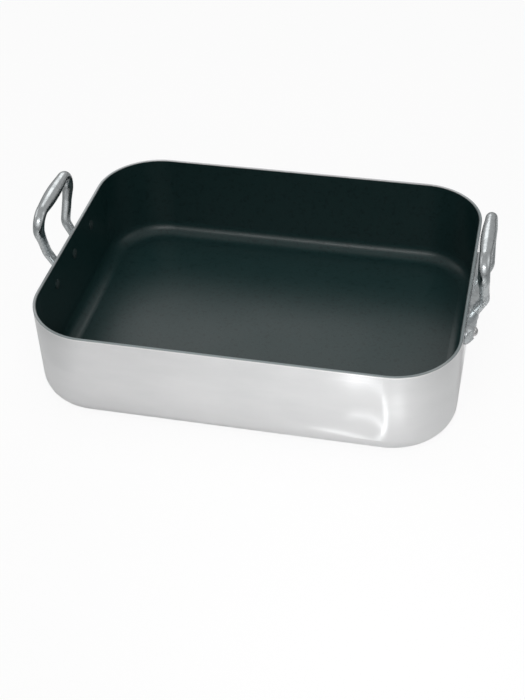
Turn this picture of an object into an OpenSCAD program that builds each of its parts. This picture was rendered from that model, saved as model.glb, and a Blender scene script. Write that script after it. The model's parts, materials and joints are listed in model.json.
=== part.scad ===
// Roasting pan with a non-stick inside and a riveted loop handle at each end.
// The pan stands on z = 0 with its middle over the origin, its long side along X,
// and the handles on the end walls at +X and -X.

/* [Pan] */
// Length of the pan over its end walls
pan_length = 420; // [380:1:560]
// Width of the pan over its long walls
pan_width = 324; // [290:1:440]
// Height of the pan from the table to its rim
pan_height = 99; // [80:1:150]
// Radius of the four upright corners, on the outside
corner_radius = 65; // [40:1:75]
// Radius where the walls run into the floor, on the outside
base_radius = 18.6; // [10:0.2:26]
// Thickness of the sheet that the pan is pressed from
sheet = 2.7; // [2:0.1:4]
// Chamfer on both edges of the rim
rim_chamfer = 0.5; // [0.2:0.1:0.8]

/* [Coating] */
// Thickness of the non-stick coating, drawn thicker than the real film
coating = 0.3; // [0.2:0.05:0.6]
// Bare metal left between the coating and the top of the rim
bare_rim = 0.9; // [0.6:0.1:3]

/* [Rivets] */
// Distance from one rivet to the next along the end wall
rivet_pitch = 54; // [48:0.5:58]
// Distance of the rivet row below the rim
rivet_drop = 23; // [20:0.5:32]
// Diameter of a rivet's shank
shank_diameter = 6; // [4:0.1:7]
// Room between a shank and the holes it fills
shank_clearance = 0.05; // [0.02:0.01:0.1]
// Diameter of the low head inside the pan
inner_head_diameter = 10; // [8:0.1:12]
// Height of the low head inside the pan
inner_head_height = 2; // [1.5:0.1:3]
// Diameter of the closed head on the handle
outer_head_diameter = 10; // [8:0.1:12]
// Height of the closed head on the handle
outer_head_height = 4; // [2:0.1:5]
// Height of the upright edge round each head
head_edge = 0.7; // [0.3:0.1:1.2]

/* [Handle foot] */
// Distance from the middle of an outer rivet to the end of the foot
foot_margin = 16; // [14:0.5:22]
// Height of the foot where it lies on the wall
foot_height = 20; // [18:0.5:24]
// Height of the foot's flat front
front_height = 11.6; // [10:0.2:16]
// Thickness of the foot, out from the wall
foot_thickness = 9.2; // [8.6:0.1:12]
// Thickness of the foot's upright edge, before its sides slope to the front
foot_edge = 1.5; // [1:0.1:3]
// Length of the slope that thins each end of the foot
foot_slope = 12; // [8:0.5:14]
// Thickness left at the very end of the slope
foot_tip = 1.2; // [1:0.1:3]
// Depth of the flat seat cut for each closed rivet head
seat_depth = 1.4; // [0.5:0.1:2]
// Room between a closed head and the edge of its seat
seat_clearance = 1.5; // [0.5:0.1:2]

/* [Handle loop] */
// Diameter of the grip in its middle, where it swells
grip_diameter = 14.6; // [12:0.1:17]
// Length of the grip, measured where its centre line meets those of the legs
grip_length = 104; // [96:1:120]
// Height of the grip's centre line above the rim
grip_rise = 50.5; // [44:0.5:60]
// Distance of the grip's centre line out from the end wall
grip_reach = 11; // [9:0.2:20]
// Radius of the bend from the grip into each leg, along the centre line
grip_bend = 15.4; // [12:0.2:18]
// Diameter of the bend between leg and grip
bend_diameter = 11.7; // [10.4:0.1:13]
// Length over which a leg thickens towards that bend
bend_taper = 12; // [6:0.5:20]
// Diameter of a leg between its bends
leg_diameter = 10.2; // [9:0.1:11.6]
// Distance of a knee's centre line out from the end wall
knee_reach = 14.2; // [12:0.2:20]
// Depth of a knee below the rim
knee_drop = 3; // [1:0.5:5]
// Distance by which each knee stands wider than the root of its leg
knee_spread = 1.4; // [0.6:0.2:6]
// Radius of the bends at a leg's root and knee, along the centre line
knee_bend = 12; // [8:0.5:14]
// Diameter of a leg at its root, on the foot
root_diameter = 9.8; // [8:0.1:10]
// Distance of a leg's root out from the end wall
root_reach = 5.3; // [5.1:0.1:6.5]
// Height of the bend at a leg's root above the rivet row
root_rise = 2; // [0:0.5:4]
// Depth of a leg's round lower end below the rivet row
root_depth = 4; // [2:0.5:6]

/* [Hidden] */
$fn = 96;
// Pieces that a very large circle is drawn with
fine_circle = 256;

// Every cut runs past the surface it opens by this much
overrun = 1;
quarter = 90;
half_turn = 180;

// The two ends of the pan, as turns from +X
right_end = 0;
left_end = half_turn;
ends = [right_end, left_end];
// The three rivets of a handle, as steps along the wall towards +Y
front = -1;
middle = 0;
back = 1;
rivet_steps = [front, middle, back];

// Centres of the corner radii
corner_x = pan_length / 2 - corner_radius;
corner_y = pan_width / 2 - corner_radius;
rivet_height = pan_height - rivet_drop;
seat_height = foot_thickness - seat_depth;
foot_length = 2 * (rivet_pitch + foot_margin);

// Centre line of the right half of a loop, from the foot to the grip, in the
// handle's frame: x along the wall, y up from the rivet row, z out from the wall
leg_root = rivet_pitch / 2;
grip_up = rivet_drop + grip_rise;
loop_foot = [leg_root, -root_depth, root_reach];
loop_root = [leg_root, root_rise, root_reach];
loop_knee = [leg_root + knee_spread, rivet_drop - knee_drop, knee_reach];
loop_corner = [grip_length / 2, grip_up, grip_reach];
loop_middle = [0, grip_up, grip_reach];

// How much thinner the loop's straight pieces are than its bends, and how far they run into them
joint_step = 0.06;
joint_lap = 0.3;

function unit(a) = a / norm(a);
// How far a bend at b, on the way from a to c, reaches along each of its two sides
function bend_reach(a, b, c, radius) =
    radius * tan(acos(unit(b - a) * unit(c - b)) / 2);
// The point a given distance from a towards b
function towards(a, b, distance) = a + unit(b - a) * distance;
corner_bend_reach = bend_reach(loop_knee, loop_corner, loop_middle, grip_bend);

// Half of the pan's section with its surface moved in by inset, filled to the middle:
// x is out from the centre of a corner radius, y is up
module half_section(inset, top) {
    radius = base_radius - inset;
    translate([0, inset]) square([corner_radius - base_radius, top - inset]);
    translate([0, base_radius]) square([corner_radius - inset, top - base_radius]);
    translate([corner_radius - base_radius, base_radius]) circle(radius);
}

// The same section for a layer of the given thickness
module layer_section(inset, thickness, top) {
    difference() {
        half_section(inset, top);
        difference() {
            half_section(inset + thickness, top + overrun);
            translate([-overrun, 0]) square([overrun, top + overrun]);
        }
    }
}

// Cuts the chamfer off a rim edge at [0, 0] that faces right and up
module chamfer_cut() {
    reach = rim_chamfer + overrun;
    polygon([[overrun, -reach], [overrun, overrun], [-reach, overrun]]);
}

// A layer that follows the whole pan. Its child is the layer's section, and
// floor_from and floor_thickness give the flat middle of the floor
module around_pan(floor_from, floor_thickness) {
    for (turn = ends) rotate(turn) {
        translate([corner_x, corner_y]) rotate_extrude(angle = quarter) children();
        translate([corner_x, -corner_y]) rotate(-quarter) rotate_extrude(angle = quarter) children();
        translate([corner_x, corner_y]) rotate([quarter, 0, 0]) linear_extrude(2 * corner_y) children();
        translate([-corner_x, corner_y]) rotate([quarter, 0, quarter]) linear_extrude(2 * corner_x) children();
    }
    translate([-corner_x, -corner_y, floor_from]) cube([2 * corner_x, 2 * corner_y, floor_thickness]);
}

// Puts something drawn in a handle's frame on an end wall
module on_end(turn) {
    rotate(turn) translate([pan_length / 2, 0, rivet_height]) rotate([quarter, 0, quarter]) children();
}

module at_rivet(step) {
    translate([step * rivet_pitch, 0]) children();
}

module at_rivets() {
    for (step = rivet_steps) at_rivet(step) children();
}

// A domed head that stands on z = 0
module rivet_head(diameter, height, edge) {
    rise = height - edge;
    dome_radius = (pow(diameter / 2, 2) + pow(rise, 2)) / (2 * rise);
    rotate_extrude() intersection() {
        square([diameter / 2, height]);
        translate([0, height - dome_radius]) circle(dome_radius);
    }
}

// The head inside the pan, and the coating over it with a grown head
module inner_head(grown) {
    translate([0, 0, -sheet]) mirror([0, 0, 1])
        rivet_head(inner_head_diameter + 2 * grown, inner_head_height + grown, head_edge + grown);
}

module rivet_holes() {
    depth = sheet + foot_thickness + 2 * overrun;
    at_rivets() translate([0, 0, -sheet - overrun])
        cylinder(h = depth, d = shank_diameter + 2 * shank_clearance);
}

module pan_shell() {
    color("silver") difference() {
        around_pan(0, sheet) difference() {
            layer_section(0, sheet, pan_height);
            translate([corner_radius, pan_height]) chamfer_cut();
            translate([corner_radius - sheet, pan_height]) mirror([1, 0]) chamfer_cut();
        }
        for (turn = ends) on_end(turn) rivet_holes();
    }
}

module nonstick_coating() {
    color("darkslategray") difference() {
        union() {
            around_pan(sheet, coating) layer_section(sheet, coating, pan_height - bare_rim);
            for (turn = ends) on_end(turn) at_rivets() inner_head(coating);
        }
        for (turn = ends) on_end(turn) at_rivets() inner_head(0);
    }
}

// One rivet, drawn along z through the wall and the foot
module rivet(turn, step) {
    color("gainsboro") on_end(turn) at_rivet(step) {
        inner_head(0);
        translate([0, 0, -sheet]) cylinder(h = sheet + seat_height, d = shank_diameter);
        translate([0, 0, seat_height]) rivet_head(outer_head_diameter, outer_head_height, head_edge);
    }
}

// Half of the foot's section: x is out from its long centre line, y is out from the wall
module foot_section() {
    polygon([
        [0, 0], [foot_height / 2, 0], [foot_height / 2, foot_edge],
        [front_height / 2, foot_thickness], [0, foot_thickness]
    ]);
}

module foot_blank() {
    run = foot_length - foot_height;
    rotate([quarter, 0, quarter]) linear_extrude(run, center = true) {
        foot_section();
        mirror([1, 0]) foot_section();
    }
    for (turn = ends) rotate(turn) translate([run / 2, 0]) rotate(-quarter)
        rotate_extrude(angle = half_turn) foot_section();
}

// Takes the corner off the end of the foot at +x
module slope_cut() {
    tip = foot_length / 2;
    rotate([quarter, 0, 0]) linear_extrude(foot_height + 2 * overrun, center = true) polygon([
        [tip - foot_slope, foot_thickness], [tip, foot_tip], [tip + overrun, foot_tip],
        [tip + overrun, foot_thickness + overrun], [tip - foot_slope, foot_thickness + overrun]
    ]);
}

// A straight piece of the loop from a to b. It is a hair thinner than the bends
// and runs on into them at both ends, so that it never just touches one
module straight(a, b, diameter_a, diameter_b) {
    way = b - a;
    translate(a - unit(way) * joint_lap) rotate([0, acos(way.z / norm(way)), atan2(way.y, way.x)])
        cylinder(h = norm(way) + 2 * joint_lap, d1 = diameter_a - joint_step, d2 = diameter_b - joint_step);
}

// The bend at b of a bar that comes from a and goes on to c
module bend(a, b, c, radius, diameter) {
    way_in = unit(b - a);
    way_out = unit(c - b);
    start = towards(b, a, bend_reach(a, b, c, radius));
    normal = unit(cross(way_in, way_out));
    inward = cross(normal, way_in);
    centre = start + inward * radius;
    multmatrix([
        [-inward.x, way_in.x, normal.x, centre.x],
        [-inward.y, way_in.y, normal.y, centre.y],
        [-inward.z, way_in.z, normal.z, centre.z]
    ]) rotate_extrude(angle = acos(way_in * way_out)) translate([radius, 0]) circle(d = diameter);
}

// The end of a leg that is cast onto the foot: a bar with a round lower end
module leg_root_bar(length) {
    diameter = root_diameter - joint_step;
    translate(loop_foot) rotate([-quarter, 0, 0]) rotate_extrude() {
        square([diameter / 2, length + joint_lap]);
        intersection() {
            circle(d = diameter);
            translate([0, -diameter / 2]) square(diameter / 2);
        }
    }
}

module leg() {
    root_bend_reach = bend_reach(loop_foot, loop_root, loop_knee, knee_bend);
    knee_bend_reach = bend_reach(loop_root, loop_knee, loop_corner, knee_bend);
    leg_root_bar(norm(loop_root - loop_foot) - root_bend_reach);
    bend(loop_foot, loop_root, loop_knee, knee_bend, root_diameter);
    straight(
        towards(loop_root, loop_knee, root_bend_reach),
        towards(loop_knee, loop_root, knee_bend_reach), root_diameter, leg_diameter
    );
    bend(loop_root, loop_knee, loop_corner, knee_bend, leg_diameter);
    // The taper starts a hair inside the leg, and the leg ends halfway up inside the taper
    taper_start = towards(loop_corner, loop_knee, corner_bend_reach + bend_taper);
    taper_middle = towards(loop_corner, loop_knee, corner_bend_reach + bend_taper / 2);
    straight(towards(loop_knee, loop_corner, knee_bend_reach), taper_middle, leg_diameter, leg_diameter);
    straight(
        taper_start, towards(loop_corner, loop_knee, corner_bend_reach),
        leg_diameter - joint_step, bend_diameter
    );
    bend(loop_knee, loop_corner, loop_middle, grip_bend, bend_diameter);
}

// The straight part of the grip, which swells from the bends' thickness to its own
module grip() {
    half = grip_length / 2 - corner_bend_reach;
    swell = (grip_diameter - bend_diameter + joint_step) / 2;
    swell_radius = (pow(half, 2) + pow(swell, 2)) / (2 * swell);
    translate(loop_middle) rotate([0, quarter, 0]) rotate_extrude() intersection() {
        translate([grip_diameter / 2 - swell_radius, 0]) circle(swell_radius, $fn = fine_circle);
        translate([0, -half - joint_lap]) square([grip_diameter, 2 * (half + joint_lap)]);
    }
}

module handle(turn) {
    color("lightgray") on_end(turn) difference() {
        union() {
            difference() {
                foot_blank();
                for (tip = ends) rotate(tip) slope_cut();
            }
            leg();
            mirror([1, 0, 0]) leg();
            grip();
        }
        at_rivets() translate([0, 0, seat_height])
            cylinder(h = seat_depth + overrun, d = outer_head_diameter + 2 * seat_clearance);
        rivet_holes();
    }
}

pan_shell();
nonstick_coating();
handle(left_end);  // left_handle
handle(right_end);  // right_handle
rivet(left_end, back);  // left_rivet_front
rivet(left_end, middle);  // left_rivet_middle
rivet(left_end, front);  // left_rivet_back
rivet(right_end, front);  // right_rivet_front
rivet(right_end, middle);  // right_rivet_middle
rivet(right_end, back);  // right_rivet_back
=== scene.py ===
import json
import math
import bmesh
import bpy
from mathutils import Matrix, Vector, noise


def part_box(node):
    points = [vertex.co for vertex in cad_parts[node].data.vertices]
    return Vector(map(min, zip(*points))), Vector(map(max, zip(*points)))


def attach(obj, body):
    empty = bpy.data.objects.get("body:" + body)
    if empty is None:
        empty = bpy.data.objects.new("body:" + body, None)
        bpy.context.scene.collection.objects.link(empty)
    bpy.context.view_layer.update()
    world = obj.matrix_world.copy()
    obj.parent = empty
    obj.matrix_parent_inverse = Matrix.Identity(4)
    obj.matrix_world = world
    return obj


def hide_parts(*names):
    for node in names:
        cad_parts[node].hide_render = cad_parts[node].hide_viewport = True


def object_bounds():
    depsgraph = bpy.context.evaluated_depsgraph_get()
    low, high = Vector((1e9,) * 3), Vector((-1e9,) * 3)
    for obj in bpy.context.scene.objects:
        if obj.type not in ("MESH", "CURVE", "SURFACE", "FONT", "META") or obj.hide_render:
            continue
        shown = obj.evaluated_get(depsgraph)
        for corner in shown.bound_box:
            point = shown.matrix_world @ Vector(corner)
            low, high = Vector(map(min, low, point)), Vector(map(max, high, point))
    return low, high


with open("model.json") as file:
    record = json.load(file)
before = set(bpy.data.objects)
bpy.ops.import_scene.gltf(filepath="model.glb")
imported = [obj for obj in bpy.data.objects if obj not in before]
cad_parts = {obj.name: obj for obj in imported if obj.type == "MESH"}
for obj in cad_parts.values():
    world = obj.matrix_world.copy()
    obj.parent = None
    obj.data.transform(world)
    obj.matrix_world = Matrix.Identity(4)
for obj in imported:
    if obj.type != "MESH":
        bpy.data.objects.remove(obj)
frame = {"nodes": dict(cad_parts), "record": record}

cadLow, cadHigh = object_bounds()
panReach = dict(zip("XYZ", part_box("pan_shell")[1]))  # how far the pan's sheet goes out along each axis
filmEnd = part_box("nonstick_coating")[1][0]
handleTop = cadHigh[2]
print("frame loaded:", len(frame["nodes"]), "nodes")


# Helpers for node trees: an input takes another node's output or a plain value

def addNode(tree, kind, **settings):
    node = tree.nodes.new(kind)
    for name, value in settings.items():
        setattr(node, name, value)
    return node


def feed(tree, node, inputs):
    for name, value in inputs.items():
        if isinstance(value, bpy.types.NodeSocket):
            tree.links.new(value, node.inputs[name])
        else:
            node.inputs[name].default_value = value


def mixColour(tree, factor, colourA, colourB):
    mix = addNode(tree, "ShaderNodeMix", data_type="RGBA")
    feed(tree, mix, {0: factor, 6: colourA, 7: colourB})
    return mix.outputs[2]


def mixValue(tree, factor, a, b):
    mix = addNode(tree, "ShaderNodeMix", data_type="FLOAT")
    feed(tree, mix, {0: factor, 2: a, 3: b})
    return mix.outputs[0]


def mathNode(tree, operation, a, b=0.0):
    node = addNode(tree, "ShaderNodeMath", operation=operation)
    feed(tree, node, {0: a, 1: b})
    return node.outputs[0]


def vectorNode(tree, operation, a, b=(0.0, 0.0, 0.0)):
    node = addNode(tree, "ShaderNodeVectorMath", operation=operation)
    feed(tree, node, {0: a, 1: b})
    return node.outputs["Value" if operation in ("LENGTH", "DOT_PRODUCT") else "Vector"]


def axisOf(tree, vector, axis):
    split = addNode(tree, "ShaderNodeSeparateXYZ")
    tree.links.new(vector, split.inputs[0])
    return split.outputs[axis]


def rangeNode(tree, value, fromLow, fromHigh, toLow=0.0, toHigh=1.0, smooth=False):
    node = addNode(tree, "ShaderNodeMapRange", interpolation_type="SMOOTHSTEP" if smooth else "LINEAR")
    feed(tree, node, {"Value": value, "From Min": fromLow, "From Max": fromHigh,
                      "To Min": toLow, "To Max": toHigh})
    return node.outputs["Result"]


def noiseNode(tree, vector, scale, detail, roughness, warp=0.0):
    node = addNode(tree, "ShaderNodeTexNoise", noise_dimensions="3D")
    feed(tree, node, {"Vector": vector, "Scale": scale, "Detail": detail, "Roughness": roughness,
                      "Distortion": warp})
    return node.outputs["Fac"]


def bumpFrom(tree, height, distance, under=None):
    bump = addNode(tree, "ShaderNodeBump")
    feed(tree, bump, {"Strength": 1.0, "Height": height, "Distance": distance})
    if under is not None:
        tree.links.new(under, bump.inputs["Normal"])
    return bump.outputs["Normal"]


def newMaterial(name):
    material = bpy.data.materials.new(name)
    material.use_nodes = True
    tree = material.node_tree
    shader = next(n for n in tree.nodes if n.type == "BSDF_PRINCIPLED")
    return material, tree, shader, addNode(tree, "ShaderNodeTexCoord")


# Effects that several finishes share

def newGroup(name, inputs, outputs):
    group = bpy.data.node_groups.new(name, "ShaderNodeTree")
    for label, kind, default in inputs:
        socket = group.interface.new_socket(label, in_out="INPUT", socket_type=kind)
        if default is not None:
            socket.default_value = default
    for label in outputs:
        group.interface.new_socket(label, in_out="OUTPUT", socket_type="NodeSocketFloat")
    return group, addNode(group, "NodeGroupInput").outputs, addNode(group, "NodeGroupOutput")


def placeGroup(tree, group, place, values):
    node = addNode(tree, "ShaderNodeGroup", node_tree=group)
    feed(tree, node, dict(values, Vector=place))
    return node.outputs


lineGrain = {"detail": 3.0, "roughness": 0.65, "maskRange": (0.35, 0.65)}


def makePolishLines():
    # fine lines left by rolling and polishing: drawn out along an axis where Lines is small
    group, given, result = newGroup(
        "PolishLines",
        [("Vector", "NodeSocketVector", None), ("Lines", "NodeSocketVector", (6.0, 6.0, 900.0))],
        ["Mask", "Height"])
    stretched = vectorNode(group, "MULTIPLY", given["Vector"], given["Lines"])
    grain = noiseNode(group, stretched, 1.0, lineGrain["detail"], lineGrain["roughness"])
    feed(group, result, {"Mask": rangeNode(group, grain, *lineGrain["maskRange"]), "Height": grain})
    return group


mottleGrain = {"detail": 2.5, "roughness": 0.5}


def makeSlowMottle():
    # slow changes of a surface: hand marks, uneven polish, thin patches
    group, given, result = newGroup(
        "SlowMottle",
        [("Vector", "NodeSocketVector", None), ("Scale", "NodeSocketFloat", 20.0),
         ("Warp", "NodeSocketFloat", 0.4), ("Low", "NodeSocketFloat", 0.35),
         ("High", "NodeSocketFloat", 0.65)],
        ["Mask", "Height"])
    grain = noiseNode(group, given["Vector"], given["Scale"], mottleGrain["detail"],
                      mottleGrain["roughness"], given["Warp"])
    mask = rangeNode(group, grain, given["Low"], given["High"], smooth=True)
    feed(group, result, {"Mask": mask, "Height": grain})
    return group


scuffGrain = {"detail": 1.0, "roughness": 0.4, "lines": (24.0, 1300.0, 60.0)}


def makeScuffMarks():
    # short thin scratches that run one way, at an angle that each use chooses
    group, given, result = newGroup(
        "ScuffMarks",
        [("Vector", "NodeSocketVector", None), ("Turn", "NodeSocketFloat", 0.3),
         ("Low", "NodeSocketFloat", 0.66), ("High", "NodeSocketFloat", 0.72)],
        ["Mask"])
    turned = addNode(group, "ShaderNodeVectorRotate", rotation_type="Z_AXIS")
    feed(group, turned, {"Vector": given["Vector"], "Angle": given["Turn"]})
    stretched = vectorNode(group, "MULTIPLY", turned.outputs[0], scuffGrain["lines"])
    grain = noiseNode(group, stretched, 1.0, scuffGrain["detail"], scuffGrain["roughness"])
    feed(group, result, {"Mask": rangeNode(group, grain, given["Low"], given["High"], smooth=True)})
    return group


polishLines = makePolishLines()
slowMottle = makeSlowMottle()
scuffMarks = makeScuffMarks()
print("shared effects made")


# The pan's sheet: satin walls, a painted highlight band under the rim and a dull cut edge with painted
# shade

pressedSheet = {
    "colour": (0.82, 0.82, 0.825, 1.0),
    "dullColour": (0.76, 0.765, 0.77, 1.0),
    "cutColour": (0.62, 0.63, 0.635, 1.0),
    # painted shade: the darker colour of the rim's cut edge along its front and ends
    "shadedCutColour": (0.30, 0.34, 0.345, 1.0),
    # painted highlight: colour of the thin band just under the rim
    "paintedHighlightColour": (0.90, 0.90, 0.90, 1.0),
    "scuffColour": (0.62, 0.62, 0.62, 1.0),
    "roughness": (0.10, 0.21),
    "cutRoughness": 0.50,
    "scuffRoughness": 0.42,
    "patches": {"Scale": 9.0, "Warp": 0.6, "Low": 0.38, "High": 0.68},
    "streaks": {"Lines": (15.0, 15.0, 52.0)},
    "wallLines": {"Lines": (5.0, 5.0, 700.0)},
    "floorLines": {"Lines": (5.0, 700.0, 5.0)},
    "waves": {"Scale": 14.0, "Warp": 0.2},
    "scuffs": ({"Turn": 0.5, "Low": 0.60, "High": 0.68}, {"Turn": -0.9, "Low": 0.64, "High": 0.70}),
    "streakShare": 0.5,
    "lineShare": 0.35,
    "waveDepth": 0.00025,
    "streakDepth": 0.00003,
    "lineDepth": 0.000004,
    "floorTilt": (0.55, 0.85),  # how upright a normal is where wall turns to floor
    "cutEdge": (0.0009, 0.0004),  # depths below the top of the rim
    # depths below the top of the rim over which the painted highlight band fades in
    "paintedHighlightBand": (0.0028, 0.0014),
    "restBand": (0.0060, 0.0008),  # heights over which the scuffs of the underside fade in
    # painted shade of the cut edge: where it starts in from each side and how far it fades
    "handledEdge": 0.006,
    "rimShadeSides": ({"axis": "X", "side": 1.0, "fade": 0.030, "share": 1.0},
                   {"axis": "X", "side": -1.0, "fade": 0.030, "share": 0.55},
                   {"axis": "Y", "side": -1.0, "fade": 0.060, "share": 1.0}),
}


def rimShadeMask(tree, place, use):
    # painted shade: the rim's cut edge is painted darker along its front and its right end, and less at its
    # left end
    handled = 0.0
    for part in use["rimShadeSides"]:
        outward = mathNode(tree, "MULTIPLY", axisOf(tree, place, part["axis"]), part["side"])
        inward = mathNode(tree, "SUBTRACT", panReach[part["axis"]], outward)
        near = rangeNode(tree, inward, use["handledEdge"], part["fade"], part["share"], 0.0)
        handled = mathNode(tree, "MAXIMUM", near, handled)
    return handled


def makePressedAluminium():
    use = pressedSheet
    material, tree, shader, coords = newMaterial("pressedAluminiumFinish")
    place = coords.outputs["Object"]
    height = axisOf(tree, place, "Z")
    below = mathNode(tree, "SUBTRACT", panReach["Z"], height)
    upright = mathNode(tree, "ABSOLUTE", axisOf(tree, coords.outputs["Normal"], "Z"))
    flat = rangeNode(tree, upright, *use["floorTilt"])
    wallLines = placeGroup(tree, polishLines, place, use["wallLines"])
    floorLines = placeGroup(tree, polishLines, place, use["floorLines"])
    streaks = placeGroup(tree, polishLines, place, use["streaks"])
    patches = placeGroup(tree, slowMottle, place, use["patches"])
    waves = placeGroup(tree, slowMottle, place, use["waves"])
    scuffed = [placeGroup(tree, scuffMarks, place, marks)["Mask"] for marks in use["scuffs"]]
    worn = mathNode(tree, "MULTIPLY", rangeNode(tree, height, *use["restBand"]),
                    mathNode(tree, "MAXIMUM", *scuffed))
    patchy = mixValue(tree, use["streakShare"], patches["Mask"], streaks["Mask"])

    # painted highlight: the wall is painted brighter in a thin band just under the rim
    colour = mixColour(tree, patchy, use["colour"], use["dullColour"])
    colour = mixColour(tree, rangeNode(tree, below, *use["paintedHighlightBand"]), colour, use["paintedHighlightColour"])
    colour = mixColour(tree, worn, colour, use["scuffColour"])
    cutEdge = rangeNode(tree, below, *use["cutEdge"])
    # painted shade: the cut edge is painted darker along the rim's front and ends
    cutColour = mixColour(tree, rimShadeMask(tree, place, use), use["cutColour"], use["shadedCutColour"])
    colour = mixColour(tree, cutEdge, colour, cutColour)

    lineMask = mixValue(tree, flat, wallLines["Mask"], floorLines["Mask"])
    rough = rangeNode(tree, mixValue(tree, use["lineShare"], patchy, lineMask), 0.0, 1.0, *use["roughness"])
    rough = mixValue(tree, worn, rough, use["scuffRoughness"])
    rough = mixValue(tree, cutEdge, rough, use["cutRoughness"])

    relief = bumpFrom(tree, waves["Height"], use["waveDepth"])
    relief = bumpFrom(tree, streaks["Height"], use["streakDepth"], relief)
    lines = mixValue(tree, flat, wallLines["Height"], floorLines["Height"])
    relief = bumpFrom(tree, lines, use["lineDepth"], relief)
    feed(tree, shader, {"Base Color": colour, "Metallic": 1.0, "Roughness": rough, "Normal": relief})
    return material


# The coating: a dark film with a fine grain, paler over the rivet heads, partly for thin, worn film and
# partly as a painted highlight

nonstickFilm = {
    "colour": (0.0070, 0.0235, 0.0238, 1.0),
    "paleColour": (0.0110, 0.0320, 0.0320, 1.0),
    # paler film over the rivet heads: partly thin, worn film, partly a painted highlight on the heads
    "headWearAndSheenColour": (0.034, 0.046, 0.046, 1.0),
    "fleckColour": (0.0030, 0.0150, 0.0155, 1.0),
    "roughness": (0.29, 0.35),
    "ior": 1.5,
    "speckle": {"Scale": 900.0, "Warp": 0.0, "Low": 0.45, "High": 0.72},
    "speckleDepth": 0.00004,
    "patches": {"Scale": 12.0, "Warp": 0.0, "Low": 0.2, "High": 0.8},
    "flecks": {"Scale": 260.0, "Warp": 0.3, "Low": 0.54, "High": 0.68},
    "headReach": (0.0003, 0.0016),  # how far the film stands in from the end walls over the heads
    "headHeight": (0.045, 0.046),
    "headAside": (0.080, 0.081),
}


def headWearAndSheenMask(tree, place, use):
    inward = mathNode(tree, "SUBTRACT", filmEnd, mathNode(tree, "ABSOLUTE", axisOf(tree, place, "X")))
    aside = mathNode(tree, "ABSOLUTE", axisOf(tree, place, "Y"))
    head = mathNode(tree, "MULTIPLY", rangeNode(tree, inward, *use["headReach"]),
                    rangeNode(tree, axisOf(tree, place, "Z"), *use["headHeight"]))
    return mathNode(tree, "MULTIPLY", head, rangeNode(tree, aside, *use["headAside"], 1.0, 0.0))


def makeNonstick():
    use = nonstickFilm
    material, tree, shader, coords = newMaterial("nonstickFinish")
    place = coords.outputs["Object"]
    speckle = placeGroup(tree, slowMottle, place, use["speckle"])
    patches = placeGroup(tree, slowMottle, place, use["patches"])
    flecks = placeGroup(tree, slowMottle, place, use["flecks"])
    colour = mixColour(tree, speckle["Mask"], use["colour"], use["paleColour"])
    colour = mixColour(tree, flecks["Mask"], colour, use["fleckColour"])
    # the film over the rivet heads is painted paler: partly wear, partly a painted highlight
    colour = mixColour(tree, headWearAndSheenMask(tree, place, use), colour, use["headWearAndSheenColour"])
    rough = rangeNode(tree, patches["Mask"], 0.0, 1.0, *use["roughness"])
    relief = bumpFrom(tree, speckle["Height"], use["speckleDepth"])
    feed(tree, shader, {"Base Color": colour, "Roughness": rough, "IOR": use["ior"], "Normal": relief})
    return material


# The handles and rivets: polished castings and heads, with lines that run along the bars

castMetal = {
    "colour": (0.68, 0.715, 0.725, 1.0),
    "dullColour": (0.56, 0.59, 0.60, 1.0),
    "roughness": (0.20, 0.36),
    "patches": {"Scale": 110.0, "Warp": 0.8, "Low": 0.38, "High": 0.70},
    "skin": {"Scale": 420.0, "Warp": 0.1},
    "skinDepth": 0.000006,
    "gripLines": {"Lines": (300.0, 14.0, 300.0)},
    "legLines": {"Lines": (300.0, 300.0, 14.0)},
    "lineShare": 0.25,
    "lineDepth": 0.000006,
    "gripDepth": (0.0169, 0.013),  # depths below the top, over which the legs turn to the grip
}

rivetMetal = dict(castMetal, colour=(0.78, 0.78, 0.775, 1.0), dullColour=(0.62, 0.62, 0.62, 1.0),
                  roughness=(0.16, 0.30), skinDepth=0.00001)


def makeCastAluminium(name, use):
    material, tree, shader, coords = newMaterial(name)
    place = coords.outputs["Object"]
    below = mathNode(tree, "SUBTRACT", handleTop, axisOf(tree, place, "Z"))
    onGrip = rangeNode(tree, below, *use["gripDepth"])
    gripLines = placeGroup(tree, polishLines, place, use["gripLines"])
    legLines = placeGroup(tree, polishLines, place, use["legLines"])
    patches = placeGroup(tree, slowMottle, place, use["patches"])
    skin = placeGroup(tree, slowMottle, place, use["skin"])
    lineMask = mixValue(tree, onGrip, legLines["Mask"], gripLines["Mask"])
    lineHeight = mixValue(tree, onGrip, legLines["Height"], gripLines["Height"])
    colour = mixColour(tree, patches["Mask"], use["colour"], use["dullColour"])
    uneven = mixValue(tree, use["lineShare"], patches["Mask"], lineMask)
    rough = rangeNode(tree, uneven, 0.0, 1.0, *use["roughness"])
    relief = bumpFrom(tree, skin["Height"], use["skinDepth"])
    relief = bumpFrom(tree, lineHeight, use["lineDepth"], relief)
    feed(tree, shader, {"Base Color": colour, "Metallic": 1.0, "Roughness": rough, "Normal": relief})
    return material


finishes = {
    "pressed_aluminium": makePressedAluminium(),
    "nonstick": makeNonstick(),
    "cast_aluminium": makeCastAluminium("castAluminiumFinish", castMetal),
    "rivet_aluminium": makeCastAluminium("rivetFinish", rivetMetal),
}
print("finishes made:", ", ".join(finishes))


# Handles: the solid's own shape with the soft corners and faint lumps of a casting

casting = {
    "weld": 0.000001,
    "voxel": 0.0006,
    "softenings": 8,
    "softenShare": 0.5,
    "lumps": ({"size": 60.0, "depth": 0.00016}, {"size": 140.0, "depth": 0.00003}),
}


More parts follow.
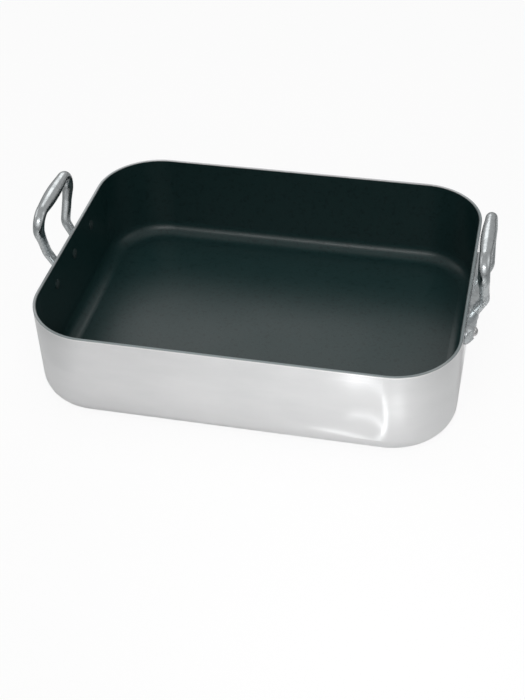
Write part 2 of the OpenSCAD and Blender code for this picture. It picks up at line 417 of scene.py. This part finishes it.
def voxelMesh(nodeName):
    bm = bmesh.new()
    bm.from_mesh(frame["nodes"][nodeName].data)
    bmesh.ops.remove_doubles(bm, verts=bm.verts, dist=casting["weld"])
    mesh = bpy.data.meshes.new(nodeName + "Cast")
    bm.to_mesh(mesh)
    bm.free()
    piece = bpy.data.objects.new(nodeName + "Cast", mesh)
    bpy.context.scene.collection.objects.link(piece)
    remesh = piece.modifiers.new("Recast", "REMESH")
    remesh.mode = "VOXEL"
    remesh.voxel_size = casting["voxel"]
    evaluated = piece.evaluated_get(bpy.context.evaluated_depsgraph_get())
    recast = bpy.data.meshes.new_from_object(evaluated)
    piece.modifiers.clear()
    piece.data = recast
    return piece


def softenMesh(mesh):
    bm = bmesh.new()
    bm.from_mesh(mesh)
    for _ in range(casting["softenings"]):
        bmesh.ops.smooth_vert(bm, verts=bm.verts, factor=casting["softenShare"],
                              use_axis_x=True, use_axis_y=True, use_axis_z=True)
    bm.normal_update()
    for vert in bm.verts:
        swell = sum(noise.noise(vert.co * lump["size"]) * lump["depth"] for lump in casting["lumps"])
        vert.co += vert.normal * swell
    for face in bm.faces:
        face.smooth = True
    bm.to_mesh(mesh)
    bm.free()


def castHandle(nodeName):
    piece = voxelMesh(nodeName)
    softenMesh(piece.data)
    piece.data.materials.clear()
    piece.data.materials.append(finishes["cast_aluminium"])
    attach(piece, "root")
    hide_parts(nodeName)
    print("cast", piece.name, len(piece.data.polygons), "faces")


for handleNode in ("left_handle", "right_handle"):
    castHandle(handleNode)


# Every solid takes the finish of its own slot

slotOf = {part["node"]: part["material_slot"] for part in frame["record"]["subparts"]}
for nodeName, node in frame["nodes"].items():
    node.data.materials.clear()
    node.data.materials.append(finishes[slotOf[nodeName]])
print("finishes assigned")


# The floor: white paper with painted reflections that only metal shows: the paper is painted darker beyond
# the pan's reach to stand for a darker room, and painted glints glow in soft bright arcs, pools and one
# long line beside the pan

paper = {
    "size": 12.0,
    "colour": (0.86, 0.86, 0.86, 1.0),
    "roughness": 0.9,
    "cameraShare": 0.92,
    "whiteReach": {"X": (-0.02, 0.22), "Y": (0.12, 0.22)},  # beyond the pan's own reach
    # painted reflection: the darker room that metal sees beyond the white paper
    "roomShadeColour": (0.42, 0.43, 0.43, 1.0),
    # glow of the painted glints that metal mirrors
    "glintStrength": 1.94,
}

# A painted glint is a ring, or a pool where its radius is none. Its bulge is the way it faces in degrees,
# keep is how far out along that way it fades in, and share is how bright it is.
poolKeep = (-0.05, -0.04)
glints = (
    {"centre": (0.100, -0.215, 0.0), "radius": 0.051, "width": 0.0065, "bulge": -35.0,
     "keep": (0.004, 0.030), "share": 0.80},
    {"centre": (0.120, -0.188, 0.0), "radius": 0.0257, "width": 0.006, "bulge": -62.0,
     "keep": (0.008, 0.018), "share": 0.55},
    {"centre": (0.0902, -0.0348, 0.0), "radius": 0.151, "width": 0.005, "bulge": -82.4,
     "keep": (0.1475, 0.1495), "share": 0.45},
    {"centre": (0.106, -0.266, 0.0), "radius": 0.0, "width": 0.024, "bulge": 0.0,
     "keep": poolKeep, "share": 0.44},
    {"centre": (0.180, -0.225, 0.0), "radius": 0.0, "width": 0.040, "bulge": 0.0,
     "keep": poolKeep, "share": 0.20},
    {"centre": (-1.7865, 0.125, 0.0), "radius": 2.0, "width": 0.007, "bulge": 0.0,
     "keep": (1.9975, 1.9992), "share": 0.70},
)


def glintMask(tree, place, use):
    away = vectorNode(tree, "SUBTRACT", place, use["centre"])
    offRing = mathNode(tree, "SUBTRACT", vectorNode(tree, "LENGTH", away), use["radius"])
    ring = rangeNode(tree, mathNode(tree, "ABSOLUTE", offRing), 0.0, use["width"], use["share"], 0.0,
                     smooth=True)
    turn = math.radians(use["bulge"])
    along = vectorNode(tree, "DOT_PRODUCT", away, (math.cos(turn), math.sin(turn), 0.0))
    return mathNode(tree, "MULTIPLY", ring, rangeNode(tree, along, *use["keep"]))


def makePaper():
    material, tree, shader, coords = newMaterial("floorPaper")
    output = next(n for n in tree.nodes if n.type == "OUTPUT_MATERIAL")
    place = coords.outputs["Object"]
    path = addNode(tree, "ShaderNodeLightPath")
    seen, mirrored = path.outputs["Is Camera Ray"], path.outputs["Is Glossy Ray"]
    beyond = []
    for axis, reach in paper["whiteReach"].items():
        aside = mathNode(tree, "ABSOLUTE", axisOf(tree, place, axis))
        beyond.append(rangeNode(tree, aside, *[panReach[axis] + more for more in reach]))
    # painted reflection: metal sees the paper beyond the pan's reach darker, as a room
    roomShade = mathNode(tree, "MULTIPLY", mirrored, mathNode(tree, "MAXIMUM", *beyond))
    colour = mixColour(tree, roomShade, paper["colour"], paper["roomShadeColour"])
    feed(tree, shader, {"Base Color": colour, "Roughness": paper["roughness"], "Specular IOR Level": 0.0})
    shine = 0.0
    for use in glints:
        shine = mathNode(tree, "MAXIMUM", glintMask(tree, place, use), shine)
    share = mathNode(tree, "MAXIMUM", mathNode(tree, "MULTIPLY", seen, paper["cameraShare"]),
                     mathNode(tree, "MULTIPLY", mirrored, shine))
    # white itself for the camera, and painted glints brighter than white where metal mirrors the floor,
    # standing for mirrored lamps
    strength = mathNode(tree, "MAXIMUM", seen, mathNode(tree, "MULTIPLY", mirrored, paper["glintStrength"]))
    glow = addNode(tree, "ShaderNodeEmission")
    feed(tree, glow, {"Strength": strength})
    mix = addNode(tree, "ShaderNodeMixShader")
    feed(tree, mix, {0: share, 1: shader.outputs[0], 2: glow.outputs[0]})
    tree.links.new(mix.outputs[0], output.inputs["Surface"])
    return material


def makeFloor():
    bm = bmesh.new()
    bmesh.ops.create_grid(bm, x_segments=1, y_segments=1, size=paper["size"] / 2)
    mesh = bpy.data.meshes.new("studioFloor")
    bm.to_mesh(mesh)
    bm.free()
    mesh.materials.append(makePaper())
    floor = bpy.data.objects.new("studioFloor", mesh)
    bpy.context.scene.collection.objects.link(floor)


# The air: white for the camera, and a dim glow that metal mirrors

air = {"colour": (1.0, 1.0, 1.0, 1.0), "glossyGlow": 0.42}


def makeWorld():
    world = bpy.data.worlds.new("studioAir")
    bpy.context.scene.world = world
    world.use_nodes = True
    tree = world.node_tree
    background = next(n for n in tree.nodes if n.type == "BACKGROUND")
    path = addNode(tree, "ShaderNodeLightPath")
    shine = mathNode(tree, "MULTIPLY", path.outputs["Is Glossy Ray"], air["glossyGlow"])
    strength = mathNode(tree, "MAXIMUM", shine, path.outputs["Is Camera Ray"])
    feed(tree, background, {"Color": air["colour"], "Strength": strength})


# Lamps: soft boxes round the pan. One only shows in reflections, two only give light.

panMiddle = (0, 0, 0.05)
overhead = {"place": (0, 0, 2.2), "target": (0, 0, 0), "size": (2.4, 2.4)}
lamps = {
    "frontBox": {"place": (0.05, -1.85, 1.45), "target": panMiddle, "size": (1.7, 0.3), "power": 9.0},
    "lowFrontBox": {"place": (0, -2.3, 0.85), "target": panMiddle, "size": (2.8, 0.7), "power": 3.0},
    "leftBox": {"place": (-1.5, 0.1, 0.9), "target": panMiddle, "size": (1.0, 0.8), "power": 1.4},
    "rightBox": {"place": (1.5, 0.1, 0.9), "target": panMiddle, "size": (1.0, 0.8), "power": 1.15},
    "backBox": {"place": (-0.52, 1.75, 1.50), "target": panMiddle, "size": (1.25, 1.5), "power": 5.7},
    "topBox": dict(overhead, power=34.0, mirrored=False),
    "topSheen": dict(overhead, power=13.2, lights=False),
    "lowBox": {"place": (0.34, -0.72, 0.48), "target": (0.14, -0.25, 0), "size": (0.27, 0.20),
               "power": 0.41, "spread": 70.0, "mirrored": False},
}


def areaLamp(name, place, target, size, power, spread=180.0, lights=True, mirrored=True):
    light = bpy.data.lights.new(name, "AREA")
    light.spread = math.radians(spread)
    light.shape = "RECTANGLE"
    light.size, light.size_y = size
    light.energy = power
    lamp = bpy.data.objects.new(name, light)
    lamp.location = place
    lamp.visible_diffuse = lights
    lamp.visible_glossy = mirrored
    lamp.rotation_mode = "QUATERNION"
    lamp.rotation_quaternion = (Vector(target) - Vector(place)).to_track_quat("-Z", "Y")
    bpy.context.scene.collection.objects.link(lamp)


# The camera, fitted to the photo

photoCamera = {
    "place": (0.2508, -1.0230, 0.8624),
    "turn": (49.845, 1.812, 12.592),
    "lens": 65.70,
    "sensor": 36.0,
}


def makeCamera():
    data = bpy.data.cameras.new("photoCamera")
    data.sensor_width = photoCamera["sensor"]
    data.lens = photoCamera["lens"]
    camera = bpy.data.objects.new("photoCamera", data)
    camera.location = photoCamera["place"]
    camera.rotation_euler = [math.radians(turn) for turn in photoCamera["turn"]]
    bpy.context.scene.collection.objects.link(camera)
    bpy.context.scene.camera = camera


makeFloor()
makeWorld()
for lampName, lamp in lamps.items():
    areaLamp(lampName, **lamp)
makeCamera()
bpy.context.scene.view_settings.view_transform = "Standard"
print("studio ready")
